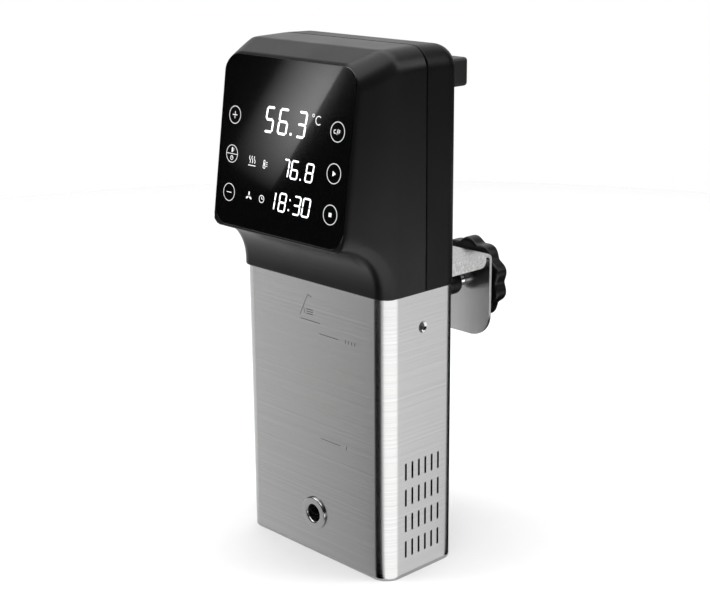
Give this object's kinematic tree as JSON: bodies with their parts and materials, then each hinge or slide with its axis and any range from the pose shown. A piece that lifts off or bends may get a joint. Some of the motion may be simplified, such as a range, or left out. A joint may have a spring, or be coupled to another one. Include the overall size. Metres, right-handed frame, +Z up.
{
  "type": "sous vide circulator",
  "caption": "Upright immersion water heater with a leaning glass control head, a slotted steel sleeve round its pump and heater, and a screw clamp for a pot wall.",
  "frame": {"origin": "centre of the foot of the sleeve, on the plane it stands on", "axes": "+Z up, -Y towards the person who reads the panel, +X to that person's right"},
  "size_m": [0.1468, 0.2004, 0.3599],
  "materials": {
    "head_black": "satin moulded",
    "cover_black": "satin moulded",
    "handle_black": "fine textured",
    "panel_glass": "polished",
    "display_white": "diffuse lens",
    "foam_black": "foam",
    "board_green": "coated board",
    "cable_grey": "ribbed",
    "motor_steel": "zinc plated",
    "copper": "enamelled wire",
    "core_steel": "laminated",
    "bright_steel": "ground",
    "fan_black": "moulded",
    "nylon_white": "moulded",
    "relay_blue": "moulded",
    "tape_yellow": "taped",
    "aluminium": "extruded",
    "inlet_black": "moulded",
    "contact_brass": "plated",
    "screw_steel": "plain",
    "screw_black": "black oxide",
    "seal_rubber": "matt",
    "heater_steel": "heat tinted",
    "carbon": "carbon filled",
    "pump_grey": "moulded",
    "sleeve_steel": "brushed across",
    "base_black": "moulded",
    "knob_black": "satin moulded"
  },
  "bodies": {
    "body": {"front_housing": "head_black", "rear_cover": "cover_black", "carry_handle": "handle_black", "handle_screws": "screw_steel", "housing_screws": "screw_black", "control_glass": "panel_glass", "glass_gasket": "foam_black", "display_module": "display_white", "control_board": "board_green", "board_screws": "screw_steel", "ribbon_cable": "cable_grey", "motor_can": "motor_steel", "motor_stator": "copper", "motor_bearings": "bright_steel", "motor_bracket": "motor_steel", "motor_screws": "screw_steel", "power_board": "board_green", "board_standoffs": "nylon_white", "power_transformer": "tape_yellow", "filter_capacitor": "relay_blue", "heater_relay": "relay_blue", "heat_sink": "aluminium", "power_inlet": "inlet_black", "inlet_pins": "contact_brass", "bulkhead_plate": "motor_steel", "bulkhead_gasket": "seal_rubber", "bulkhead_screws": "screw_steel", "shaft_seal": "seal_rubber", "shaft_column": "bright_steel", "lower_bush": "carbon", "pump_housing": "pump_grey", "outlet_eyelet": "bright_steel", "heater_left": "heater_steel", "heater_right": "heater_steel", "heater_glands": "contact_brass", "temperature_probe": "bright_steel", "level_probes": "bright_steel", "probe_glands": "nylon_white", "sleeve": "sleeve_steel", "base_cap": "base_black", "base_screws": "screw_steel", "sleeve_screws": "screw_black", "clamp_bracket": "sleeve_steel", "bracket_screws": "screw_steel", "nut_plate": "motor_steel", "clamp_nut": "bright_steel"},
    "rotor": {"drive_shaft": "bright_steel", "motor_rotor": "core_steel", "cooling_fan": "fan_black", "impeller": "nylon_white"},
    "clamp_foot": {"clamp_foot": "knob_black", "foot_pad": "seal_rubber"},
    "clamp_screw": {"clamp_screw": "bright_steel", "clamp_knob": "knob_black"}
  },
  "joints": [
    {"name": "pump_spin", "type": "hinge", "parent": "body", "child": "rotor", "pos_m": [0, 0, 0.2], "axis": [0, 0, 1], "continuous": true},
    {"name": "clamp_feed", "type": "slide", "parent": "body", "child": "clamp_foot", "axis": [0, 1, 0], "range_m": [-0.0035, 0.008]},
    {"name": "clamp_turn", "type": "hinge", "parent": "clamp_foot", "child": "clamp_screw", "pos_m": [0, 0.12, 0.172], "axis": [0, 1, 0], "range_deg": [-1010, 2310]}
  ],
  "couplings": [
    {"joint": "clamp_turn", "follows": "clamp_feed", "rad_per_m": 5026.5}
  ]
}
